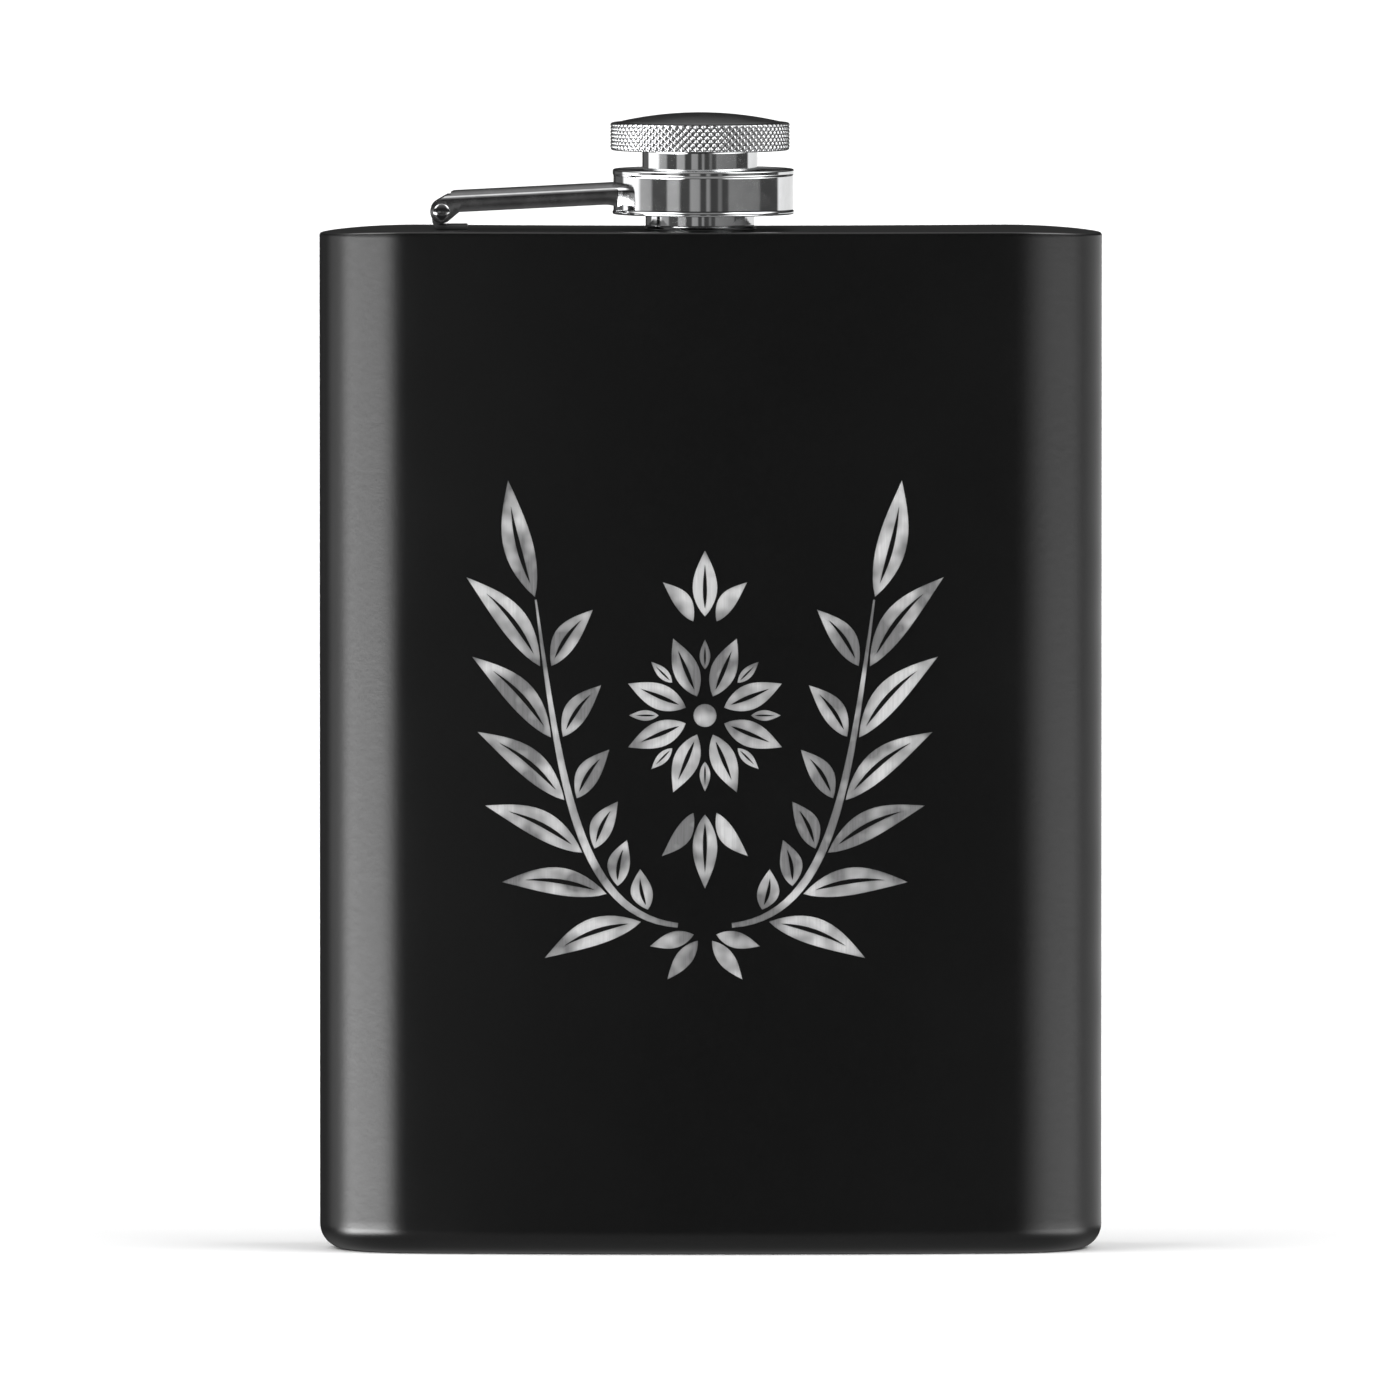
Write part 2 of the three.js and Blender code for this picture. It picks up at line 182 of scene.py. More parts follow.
def finished(obj, body, node, slot, *materials, sharp=32):
    """Scales a piece to metres, gives it its materials and lets it stand for its CAD node."""
    obj.data.transform(Matrix.Scale(MM, 4))
    obj.data.shade_smooth()
    obj.data.set_sharp_from_angle(angle=math.radians(sharp))
    for material in materials:
        obj.data.materials.append(material)
    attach(obj, body)
    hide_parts(node)
    return obj


def grid_faces(rows, columns, wrap_rows=False):
    """Quads of a grid whose points are numbered row by row, and whose rows are closed loops."""
    faces = []
    for row in range(rows if wrap_rows else rows - 1):
        for column in range(columns):
            next_row = (row + 1) % rows
            next_column = (column + 1) % columns
            faces.append(
                (
                    row * columns + column,
                    row * columns + next_column,
                    next_row * columns + next_column,
                    next_row * columns + column,
                )
            )
    return faces


def rounded(profile, radius, steps=4):
    """A closed profile of [radius, height] points, with every corner off the axis rounded."""
    largest_share = 0.45
    margin = 0.04
    result = []
    for i, corner in enumerate(profile):
        corner = Vector(corner)
        back = Vector(profile[i - 1]) - corner
        ahead = Vector(profile[(i + 1) % len(profile)]) - corner
        if corner.x < 1e-6:
            result.append(corner)
            continue
        reach = min(radius, largest_share * back.length, largest_share * ahead.length)
        start = corner + back.normalized() * reach
        end = corner + ahead.normalized() * reach
        # A point just outside each end of the bend keeps the straight stretches evenly shaded.
        result.append(start + back * margin)
        for k in range(steps + 1):
            t = k / steps
            result.append((1 - t) ** 2 * start + 2 * t * (1 - t) * corner + t**2 * end)
        result.append(end + ahead * margin)
    return result


def turned(name, profile, centre, steps=128, relief=None):
    """A closed profile turned about a vertical axis. relief(angle, radius, height) is cut from the radius."""
    points = []
    for radius, height in profile:
        for k in range(steps):
            angle = 2 * math.pi * k / steps
            r = radius - relief(angle, radius, height) if relief else radius
            points.append(centre + Vector((r * math.cos(angle), r * math.sin(angle), height)))
    return tidy(new_object(name, points, grid_faces(len(profile), steps, wrap_rows=True)))


def prism(name, loop, low, high, place):
    """A closed loop of (u, v) points as a block from w = low to w = high, put in place by place(u, v, w)."""
    points = [place(u, v, w) for w in (low, high) for u, v in loop]
    count = len(loop)
    faces = grid_faces(2, count)
    faces.append(tuple(range(count)))
    faces.append(tuple(range(count, 2 * count)))
    return tidy(new_object(name, points, faces))


def arc(centre, radius, start, end, steps):
    """Points along an arc, both ends included. Angles are in degrees."""
    angles = [math.radians(start + (end - start) * k / steps) for k in range(steps + 1)]
    return [(centre[0] + radius * math.cos(a), centre[1] + radius * math.sin(a)) for a in angles]


def circle(centre, radius, count):
    """A closed loop of count points."""
    return arc(centre, radius, 0, 360 - 360 / count, count - 1)


def direction(angle):
    """A step of 1 in a plane. The angle is in radians."""
    return Vector((math.cos(angle), math.sin(angle)))


def crossways(step):
    """The same step turned a quarter to the left."""
    return Vector((-step.y, step.x))


def bezier(points, t):
    """A point of the curve that the control points make."""
    points = [Vector(point) for point in points]
    while len(points) > 1:
        points = [a.lerp(b, t) for a, b in zip(points, points[1:])]
    return points[0]


def thread_ridge(name, wall, crest, start_height):
    """One ridge of a right-hand thread, which fades into its wall at both ends."""
    bite = 0.15 if wall > crest else -0.15
    rounding = (wall - crest) * 0.15
    half_root = 0.45
    half_crest = 0.16
    half_shoulder = half_crest * 1.35
    half_flat = half_crest * 0.7
    steps_per_turn = 96
    steps = round(THREAD_TURNS * steps_per_turn)
    fade = steps_per_turn / 6
    points = []
    for i in range(steps + 1):
        angle = 2 * math.pi * i / steps_per_turn
        height = start_height + THREAD_PITCH * i / steps_per_turn
        full = min(1, i / fade, (steps - i) / fade)
        top = wall + bite / 2 + (crest - wall - bite / 2) * math.sin(full * math.pi / 2)
        section = [
            (wall + bite, -half_root),
            (top + rounding, -half_shoulder),
            (top, -half_flat),
            (top, half_flat),
            (top + rounding, half_shoulder),
            (wall + bite, half_root),
        ]
        for radius, rise in section:
            place = Vector((radius * math.cos(angle), radius * math.sin(angle), height + rise))
            points.append(NECK + place)
    count = len(section)
    faces = grid_faces(steps + 1, count)
    faces.append(tuple(range(count)))
    faces.append(tuple(range(count * steps, count * steps + count)))
    return tidy(new_object(name, points, faces))


# ---- Body outline --------------------------------------------------------------------------------

END_X = (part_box("body_sleeve")[1].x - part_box("body_sleeve")[0].x) / MM / 2 - END_RADIUS
FRONT_HALF_ANGLE = math.asin(END_X / (FRONT_RADIUS - END_RADIUS))
BACK_HALF_ANGLE = math.asin(END_X / (BACK_RADIUS + END_RADIUS))
FRONT_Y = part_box("body_sleeve")[0].y / MM
END_Y = FRONT_Y + FRONT_RADIUS - (FRONT_RADIUS - END_RADIUS) * math.cos(FRONT_HALF_ANGLE)
FRONT_CENTRE_Y = FRONT_Y + FRONT_RADIUS
BACK_CENTRE_Y = END_Y + (BACK_RADIUS + END_RADIUS) * math.cos(BACK_HALF_ANGLE)

FRONT_STEPS = 48
END_STEPS = 40
BACK_STEPS = 48
OUTLINE_COUNT = FRONT_STEPS + END_STEPS * 2 + BACK_STEPS
GRID_SPACING = 2.5


def outline(inset):
    """The body's outline seen from above, moved inwards, anticlockwise from the front face's left end."""
    front = math.degrees(FRONT_HALF_ANGLE)
    back = math.degrees(BACK_HALF_ANGLE)
    end = END_RADIUS - inset
    arcs = [
        arc((0, FRONT_CENTRE_Y), FRONT_RADIUS - inset, -90 - front, -90 + front, FRONT_STEPS),
        arc((END_X, END_Y), end, -90 + front, 90 + back, END_STEPS),
        arc((0, BACK_CENTRE_Y), BACK_RADIUS + inset, -90 + back, -90 - back, BACK_STEPS),
        arc((-END_X, END_Y), end, 90 - back, 270 - front, END_STEPS),
    ]
    return [point for stretch in arcs for point in stretch[:-1]]


def rim(profile):
    """Points of a profile of [inset, height] pairs carried round the body's outline."""
    return [Vector((x, y, height)) for inset, height in profile for x, y in outline(inset)]


def triangulated(loops):
    """Triangles between closed loops in a plane, with a grid of points so that the surface can be bent.

    Returns the points, the triangles and, for each triangle, how many of the loops hold it.
    """
    points, edges = [], []
    for loop in loops:
        first = len(points)
        points += [Vector(point) for point in loop]
        edges += [(first + i, first + (i + 1) % len(loop)) for i in range(len(loop))]
    low = Vector((min(p.x for p in points), min(p.y for p in points)))
    high = Vector((max(p.x for p in points), max(p.y for p in points)))
    across, up = (max(2, round((high - low)[k] / GRID_SPACING)) for k in (0, 1))
    for i in range(1, across):
        for j in range(1, up):
            share = Vector((i / across, j / up))
            point = low + share * (high - low)
            if holds(loops[0], point) and clear_of(loops[0], point, GRID_SPACING / 3):
                points.append(point)
    points, _, faces, *_ = delaunay_2d_cdt(points, edges, [], 0, 1e-5)
    counts = []
    for face in faces:
        centre = sum((points[k] for k in face), Vector((0, 0))) / len(face)
        counts.append(sum(holds(loop, centre) for loop in loops))
    return points, faces, counts


def holds(loop, point):
    """Whether a closed loop goes round a point."""
    inside = False
    x, y = point
    for (ax, ay), (bx, by) in zip(loop, loop[1:] + loop[:1]):
        if (ay > y) != (by > y) and x < ax + (bx - ax) * (y - ay) / (by - ay):
            inside = not inside
    return inside


def clear_of(loop, point, distance):
    """Whether a point is further than a distance from every corner of a loop."""
    return all((Vector(corner) - point).length > distance for corner in loop)


# ---- Ornament: two leafy sprays round a rosette, in millimetres from its own middle --------------


def leaf(base, angle, length, width, bend=0.0, start=0.0, end=1.0, steps=14):
    """A slender pointed leaf. start and end cut out a stretch of it, for the slit along its middle."""
    along = direction(angle)
    across = crossways(along)
    # Below 1, the leaf is widest nearer to its base than to its tip.
    taper = 0.85
    left, right = [], []
    for k in range(steps + 1):
        t = k / steps
        at = start + (end - start) * t
        middle_line = Vector(base) + along * length * at + across * bend * length * math.sin(math.pi * at)
        half = width / 2 * math.sin(math.pi * t**taper)
        left.append(middle_line + across * half)
        right.append(middle_line - across * half)
    return [tuple(p) for p in left + right[-2:0:-1]]


def slit_leaf(base, angle, length, width, bend=0.0):
    """A leaf and the line of coating left along its middle."""
    slit_width = width * 0.16
    slit = leaf(base, angle, length, slit_width, bend, start=0.12, end=0.78, steps=8)
    return [leaf(base, angle, length, width, bend), slit]


def heading(curve, t):
    """The way a curve runs at t."""
    return bezier(curve, t + 0.01) - bezier(curve, t - 0.01)


def stem(curve, width):
    """A line along a curve, thinner at both ends."""
    steps = 28
    start = 0.02
    left, right = [], []
    for k in range(steps + 1):
        t = start + (1 - start) * k / steps
        here = bezier(curve, t)
        across = crossways(heading(curve, t).normalized())
        half = width / 2 * (0.25 + 0.75 * math.sin(math.pi * min(1, 0.15 + k / steps * 0.85)))
        left.append(here + across * half)
        right.append(here - across * half)
    return [tuple(p) for p in left + right[::-1]]


def spray():
    """The right-hand spray: leaves on both sides of a rising stem."""
    curve = [(2.5, -25.5), (15.5, -25), (17.5, -8), (20.5, 14)]
    loops = [stem(curve, 1.0)]
    pairs = 6
    stalk = 1.1
    for i in range(pairs):
        share = i / (pairs - 1)
        t = 0.12 + 0.74 * share
        ahead = heading(curve, t)
        # Each leaf's side of the stem, its angle from the stem in radians, and its length.
        outer_leaf = (-1, 0.75 - 0.2 * share, 12.5 + 1.5 * share)
        inner_leaf = (1, 1 - 0.22 * share, 5 + 3.5 * share)
        for side, spread, length in (outer_leaf, inner_leaf):
            angle = math.atan2(ahead.y, ahead.x) + side * spread
            base = bezier(curve, t) + direction(angle) * stalk
            width = 2.2 + 0.09 * length
            loops += slit_leaf(base, angle, length, width, bend=-side * 0.07)
    tip = bezier(curve, 1) + Vector((0.1, 0.35))
    loops += slit_leaf(tip, math.radians(77), length=14.5, width=3.6, bend=-0.04)
    return loops


def mirrored(loop):
    """The loop seen in a mirror, run the same way round."""
    return [(-x, y) for x, y in loop][::-1]


def rosette(inner, length, width, turn=0.0):
    """Eight petals that start on a circle of radius inner."""
    petals = 8
    loops = []
    for i in range(petals):
        angle = turn + 2 * math.pi * i / petals
        loops += slit_leaf(direction(angle) * inner, angle, length, width)
    return loops


def ornament():
    """The two sprays, the rosette between them, three leaves above and below it, and four at the foot."""
    right = spray()
    loops = right + [mirrored(loop) for loop in right]
    loops += [circle((0, 0), 1.4, 24)]
    loops += rosette(inner=2.5, length=7.6, width=3.1, turn=math.radians(22.5))
    loops += rosette(inner=5.6, length=3.6, width=1.3)
    loops += slit_leaf((0, 12), math.radians(90), length=8, width=3)
    loops += slit_leaf((0, -12), math.radians(-90), length=9, width=3)
    foot = Vector((0, -26.2))
    for side in (-1, 1):
        upper = math.radians(90 - side * 38)
        lower = math.radians(-90 + side * 36)
        loops += [leaf((side * 1.4, 11.4), upper, length=6, width=2.1, bend=side * 0.08)]
        loops += [leaf((side * 1.4, -11.8), lower, length=6.5, width=2.1, bend=-side * 0.08)]
        for tilt, length in ((38, 6), (75, 5.5)):
            angle = math.radians(-90 + side * tilt)
            loops += [leaf(foot + direction(angle) * 1.4, angle, length, width=2)]
    return loops


# ---- Materials -----------------------------------------------------------------------------------


class Nodes:
    """A short way of wiring up a material's nodes."""

    def __init__(self, name, metallic=0.0, **constants):
        self.material = bpy.data.materials.new(name)
        self.material.use_nodes = True
        self.tree = self.material.node_tree
        self.shader = self.tree.nodes["Principled BSDF"]
        self.shader.inputs["Metallic"].default_value = metallic
        for socket, value in constants.items():
            self.shader.inputs[socket.replace("_", " ")].default_value = value
        self.place = self.tree.nodes.new("ShaderNodeTexCoord").outputs["Object"]

    def link(self, source, target):
        self.tree.links.new(source, target)

    def stretched(self, scale, centre=(0, 0, 0)):
        """The surface's place in metres, measured from centre and multiplied by scale."""
        moved = self.tree.nodes.new("ShaderNodeVectorMath")
        moved.operation = "SUBTRACT"
        moved.inputs[1].default_value = centre
        self.link(self.place, moved.inputs[0])
        scaled = self.tree.nodes.new("ShaderNodeVectorMath")
        scaled.operation = "MULTIPLY"
        scaled.inputs[1].default_value = scale
        self.link(moved.outputs[0], scaled.inputs[0])
        return scaled.outputs[0]

    def noise(self, scale, detail, stretch=None):
        """An uneven pattern, drawn out where a factor of stretch is small."""
        node = self.tree.nodes.new("ShaderNodeTexNoise")
        node.inputs["Scale"].default_value = scale
        node.inputs["Detail"].default_value = detail
        node.inputs["Roughness"].default_value = 0.55
        self.link(self.stretched(stretch) if stretch else self.place, node.inputs["Vector"])
        return node.outputs["Fac"]

    def spread(self, value, low, high, from_low=0.3, from_high=0.7):
        """A value between two limits, mapped to low and high."""
        node = self.tree.nodes.new("ShaderNodeMapRange")
        limits = {"From Min": from_low, "From Max": from_high, "To Min": low, "To Max": high}
        for socket, number in limits.items():
            node.inputs[socket].default_value = number
        self.link(value, node.inputs["Value"])
        return node.outputs["Result"]

    def mixed(self, factor, first, second):
        """A mix of two colours, each given as numbers or as the output of another node."""
        node = self.tree.nodes.new("ShaderNodeMix")
        node.data_type = "RGBA"
        self.link(factor, node.inputs["Factor"])
        for socket, color in (("A", first), ("B", second)):
            target = [s for s in node.inputs if s.name == socket and s.type == "RGBA"][0]
            if isinstance(color, tuple):
                target.default_value = (*color, 1)
            else:
                self.link(color, target)
        return [s for s in node.outputs if s.type == "RGBA"][0]

    def color(self, output):
        self.link(output, self.shader.inputs["Base Color"])

    def roughness(self, output):
        self.link(output, self.shader.inputs["Roughness"])

    def bump(self, height, distance, strength, under=None):
        """Raises the surface by a distance in metres, on top of the bump under it."""
        node = self.tree.nodes.new("ShaderNodeBump")
        node.inputs["Strength"].default_value = strength
        node.inputs["Distance"].default_value = distance
        self.link(height, node.inputs["Height"])
        if under is not None:
            self.link(under, node.inputs["Normal"])
        self.link(node.outputs["Normal"], self.shader.inputs["Normal"])
        return node.outputs["Normal"]


def coat_material():
    """Satin black powder coat: a fine orange-peel surface with slightly uneven gloss."""
    nodes = Nodes("black_powder_coat", Specular_IOR_Level=0.62)
    patches = nodes.noise(60, detail=4)
    grain = nodes.noise(2600, detail=2)
    nodes.color(nodes.mixed(nodes.spread(grain, 0, 1), (0.001, 0.001, 0.00105), (0.003, 0.003, 0.0031)))
    nodes.roughness(nodes.spread(patches, 0.28, 0.32))
    under = nodes.bump(nodes.noise(900, detail=2), 0.000012, 0.5)
    nodes.bump(grain, 0.000006, 0.5, under)
    return nodes.material


def polished_material():
    """Polished stainless steel with faint turning marks and rub marks."""
    nodes = Nodes("polished_steel", metallic=1)
    marks = nodes.noise(300, detail=3, stretch=(0.6, 0.6, 14))
    smears = nodes.noise(420, detail=4)
    nodes.color(nodes.mixed(nodes.spread(smears, 0, 1), (0.68, 0.685, 0.69), (0.76, 0.765, 0.77)))
    nodes.roughness(nodes.spread(smears, 0.03, 0.09))
    nodes.bump(marks, 0.000002, 0.4)
    return nodes.material


def satin_material(name, darkest, brightest, smoothest, roughest):
    """Plain rolled steel of the arm and hinge, less polished than the cap."""
    nodes = Nodes(name, metallic=1)
    patches = nodes.noise(700, detail=4)
    dark, bright = (darkest, darkest, darkest + 0.005), (brightest, brightest, brightest + 0.005)
    nodes.color(nodes.mixed(nodes.spread(patches, 0, 1), dark, bright))
    nodes.roughness(nodes.spread(patches, smoothest, roughest))
    nodes.bump(nodes.noise(1800, detail=2), 0.000004, 0.5)
    return nodes.material


def knurled_material():
    """Polished steel, dimmed overall and painted dark grey in its knurl's grooves: painted shade for the
    knurl's self-shadowing.
    """
    nodes = Nodes("knurled_steel", metallic=1)
    length = nodes.tree.nodes.new("ShaderNodeVectorMath")
    length.operation = "LENGTH"
    nodes.link(nodes.stretched((1, 1, 0), (NECK.x * MM, NECK.y * MM, 0)), length.inputs[0])
    radius = length.outputs["Value"]
    groove = (CAP_RADIUS - KNURL_DEPTH) * MM
    crest = (CAP_RADIUS - 0.05) * MM
    raised = nodes.spread(radius, 0, 1, groove, crest)
    # Inside this radius the head is a plain dome.
    plain = 9.9 * MM
    inner = nodes.spread(radius, 1, 0, plain, plain + 0.1 * MM)
    keep = nodes.tree.nodes.new("ShaderNodeMath")
    keep.operation = "MAXIMUM"
    nodes.link(raised, keep.inputs[0])
    nodes.link(inner, keep.inputs[1])
    smears = nodes.noise(420, detail=4)
    # Painted shade: the steel's colour is dimmed for the knurl's self-shadowing, and the grooves get a
    # painted dark grey.
    steel_with_painted_self_shade = nodes.mixed(nodes.spread(smears, 0, 1), (0.55, 0.555, 0.56), (0.65, 0.655, 0.66))
    nodes.color(nodes.mixed(keep.outputs[0], (0.14, 0.14, 0.145), steel_with_painted_self_shade))
    nodes.roughness(nodes.spread(smears, 0.09, 0.18))
    nodes.bump(nodes.noise(1500, detail=2), 0.000003, 0.4)
    return nodes.material


def engraved_material():
    """Steel bared by engraving: fine upright brush lines in a satin silver, over painted shading in large
    patches from dark grey to white.
    """
    nodes = Nodes("engraved_steel", metallic=0.45)
    brush = nodes.noise(500, detail=3, stretch=(8, 8, 0.25))
    # Painted shading: large patches from dark grey to white stand in for the light and shade across the
    # engraved leaves.
    patches = nodes.noise(190, detail=2)
    painted_shading = nodes.mixed(nodes.spread(patches, 0, 1, 0.42, 0.64), (0.24, 0.24, 0.243), (1, 1, 1))
    nodes.color(nodes.mixed(nodes.spread(brush, 0.0, 0.35), painted_shading, (0.5, 0.5, 0.505)))
    nodes.roughness(nodes.spread(brush, 0.4, 0.52))
    nodes.bump(brush, 0.000006, 0.35)
    return nodes.material


def silicone_material():
    """The seal's pale silicone, matt and faintly grained."""
    nodes = Nodes("silicone")
    patches = nodes.noise(500, detail=3)
    nodes.color(nodes.mixed(nodes.spread(patches, 0, 1), (0.7, 0.7, 0.67), (0.8, 0.8, 0.77)))
    nodes.roughness(nodes.spread(patches, 0.5, 0.62))
    nodes.bump(nodes.noise(2400, detail=2), 0.000005, 0.4)
    return nodes.material


coat = coat_material()
polished = polished_material()
arm_steel = satin_material("arm_steel", 0.62, 0.74, 0.13, 0.19)
bracket_steel = satin_material("bracket_steel", 0.38, 0.5, 0.26, 0.38)
pin_steel = satin_material("pin_steel", 0.38, 0.5, 0.1, 0.16)
knurled = knurled_material()
engraved = engraved_material()
silicone = silicone_material()


# ---- Body ----------------------------------------------------------------------------------------


def sleeve():
    """The wrapped sheet, with the ornament engraved through its coating on the front."""
    weld_overlap = 0.02
    steps_up = 16
    low = BASE_RIM_HEIGHT
    high = SLEEVE_TOP + weld_overlap
    levels = [low + (high - low) * k / steps_up for k in range(steps_up + 1)]
    across = [-1 + 2 * k / FRONT_STEPS for k in range(FRONT_STEPS + 1)]
    half = FRONT_RADIUS * FRONT_HALF_ANGLE

    def on_front(point, depth=0.0):
        """A flat point (along the front, height) wrapped onto the front face."""
        angle = point[0] / FRONT_RADIUS
        radius = FRONT_RADIUS - depth
        return Vector((radius * math.sin(angle), FRONT_CENTRE_Y - radius * math.cos(angle), point[1]))

    edge = [(half * u, low) for u in across[:-1]]
    edge += [(half, z) for z in levels[:-1]]
    edge += [(-half * u, high) for u in across[:-1]]
    edge += [(-half, z) for z in levels[:0:-1]]
    right, up = ORNAMENT_CENTRE
    leaves = [[(right + x, up + y) for x, y in loop] for loop in ornament()]
    flat, triangles, counts = triangulated([edge, *leaves])
    # A triangle in the edge alone is coated, one in a leaf is cut, and one in a leaf's slit is coated again.
    cut = [count % 2 == 0 for count in counts]

    coated, bare = 0, 1
    points = [on_front(point) for point in flat]
    floor = {}
    faces, materials = [], []

    def sunk(k):
        """The number of the point below point k, at the bottom of the engraving."""
        if k not in floor:
            floor[k] = len(points)
            points.append(on_front(flat[k], ENGRAVING_DEPTH))
        return floor[k]

    border = {}
    for face, is_cut in zip(triangles, cut):
        faces.append(tuple(sunk(k) for k in face) if is_cut else tuple(face))
        materials.append(bare if is_cut else coated)
        for a, b in zip(face, (*face[1:], face[0])):
            border.setdefault((min(a, b), max(a, b)), []).append(is_cut)
    for (a, b), sides in border.items():
        if len(sides) == 2 and sides[0] != sides[1]:
            faces.append((a, b, sunk(b), sunk(a)))
            materials.append(coated)

    def wall(insets, zs):
        """Quads of the whole outline between consecutive rings."""
        first = len(points)
        points.extend(rim(list(zip(insets, zs))))
        return [tuple(first + k for k in face) for face in grid_faces(len(zs), OUTLINE_COUNT)]

    outer = wall([0] * len(levels), levels)
    kept = [face for i, face in enumerate(outer) if i % OUTLINE_COUNT >= FRONT_STEPS]
    inner = wall([0, SHEET, *[SHEET] * len(levels), 0], [low, low, *levels, high])
    faces += kept + inner
    materials += [coated] * (len(kept) + len(inner))
    obj = new_object("coated_sleeve", points, faces)
    for polygon, index in zip(obj.data.polygons, materials):
        polygon.material_index = index
    return tidy(obj)


def base():
    """The pressed pan, with its raised panel."""
    corner = [(BASE_CORNER - x, BASE_CORNER + y) for x, y in arc((0, 0), BASE_CORNER, 0, -90, 12)]
    inner_radius = BASE_CORNER - SHEET
    inside = [(BASE_CORNER - x, BASE_CORNER + y) for x, y in arc((0, 0), inner_radius, -90, 0, 12)]
    # The bend from the rim that stands on the ground up to the panel.
    step = [
        (PANEL_INSET - 0.5, 0),
        (PANEL_INSET - 0.35, 0.03),
        (PANEL_INSET - 0.1, PANEL_RISE - 0.03),
        (PANEL_INSET + 0.05, PANEL_RISE),
    ]
    outer = [(0, BASE_RIM_HEIGHT), *corner, *step]
    inner = [(inset, height + SHEET) for inset, height in step[::-1]] + inside + [(SHEET, BASE_RIM_HEIGHT)]
    points = rim(outer + inner)
    faces = grid_faces(len(outer), OUTLINE_COUNT)
    first = len(outer) * OUTLINE_COUNT
    faces += [tuple(first + k for k in face) for face in grid_faces(len(inner), OUTLINE_COUNT)]
    last = first + (len(inner) - 1) * OUTLINE_COUNT
    for k in range(OUTLINE_COUNT):
        following = (k + 1) % OUTLINE_COUNT
        faces.append((k, following, last + following, last + k))
    faces.append(tuple(range(first - OUTLINE_COUNT, first)))
    faces.append(tuple(range(first, first + OUTLINE_COUNT)))
    return tidy(new_object("coated_base", points, faces))


def top():
    """The top plate, with its hole for the neck. Its upper side falls a little towards both ends."""
    underside = PLATE_TOP - PLATE_THICKNESS
    edge = [(PLATE_EDGE - x, PLATE_TOP - PLATE_EDGE + y) for x, y in arc((0, 0), PLATE_EDGE, 0, 90, 8)]
    side = [(PLATE_EDGE, underside), (0, underside), *edge]
    points = rim(side)
    faces = grid_faces(len(side), OUTLINE_COUNT)
    hole = circle((NECK.x, NECK.y), PLATE_HOLE, 60)
    flat, triangles, counts = triangulated([outline(PLATE_EDGE), hole])
    for height in (underside, PLATE_TOP):
        first = len(points)
        points += [Vector((*point, height)) for point in flat]
        faces += [tuple(first + k for k in face) for face, count in zip(triangles, counts) if count == 1]
    first = len(points)
    points += [Vector((*point, height)) for height in (underside, PLATE_TOP) for point in hole]
    faces += [tuple(first + k for k in face) for face in grid_faces(2, len(hole))]
    end_length = END_X + END_RADIUS - PLATE_FLAT_HALF
    for point in points:
        out = max(0, abs(point.x) - PLATE_FLAT_HALF) / end_length
        if point.z > underside + PLATE_THICKNESS / 2:
            point.z -= PLATE_END_DROP * out**2
    return tidy(new_object("coated_top", points, faces))


finished(sleeve(), "flask", "body_sleeve", "black_coat", coat, engraved)
finished(base(), "flask", "base_pan", "black_coat", coat)
finished(top(), "flask", "top_plate", "black_coat", coat)


# ---- Neck and cap, in heights above the top plate ------------------------------------------------


def neck():
    """The spigot in the plate's hole, a flange, a collar and the threaded tube."""
    spigot = PLATE_HOLE - 0.1
    spigot_depth = 1.2
    flange = 6.8
    collar = 6.6
    collar_top = 2.1
    chamfer = 0.25
    profile = [
        (NECK_BORE, -spigot_depth),
        (spigot, -spigot_depth),
        (spigot, FOOT_GAP),
        (flange, FOOT_GAP),
        (flange, 0.12),
        (collar + 0.05, 0.3),
        (collar, 0.5),
        (collar, collar_top - chamfer),
        (collar - chamfer, collar_top),
        (NECK_CORE, collar_top + 0.1),
        (NECK_CORE, NECK_HEIGHT - 0.35),
        (NECK_CORE - chamfer, NECK_HEIGHT),
        (NECK_BORE, NECK_HEIGHT),
    ]
    body = turned("threaded_neck", rounded(profile, 0.14), NECK)
    ridge = thread_ridge("ridge", NECK_CORE, NECK_CORE + THREAD_DEPTH, NECK_THREAD_START)
    return tidy(combined(body, ridge, "UNION"))


def cap_core():
    """The threaded skirt, and above it the plug inside the head."""
    low = heights("cap_core")[0]
    plug_low = heights("cap_shell")[0] + 0.05
    plug_high = 11.3
    plug_radius = 10.05
    ceiling = NECK_HEIGHT + 1.1
    profile = [
        (0, ceiling),
        (SKIRT_BORE, ceiling),
        (SKIRT_BORE, low + 0.25),
        (SKIRT_BORE + 0.2, low),
        (SKIRT_RADIUS, low),
        (SKIRT_RADIUS, plug_low),
        (plug_radius, plug_low),
        (plug_radius, plug_high),
        (0, plug_high),
    ]
    body = turned("cap_core_turned", rounded(profile, 0.12), NECK)
    start = NECK_THREAD_START - THREAD_PITCH / 2
    ridge = thread_ridge("ridge", SKIRT_BORE, SKIRT_BORE - THREAD_DEPTH, start)
    return tidy(combined(body, ridge, "UNION"))


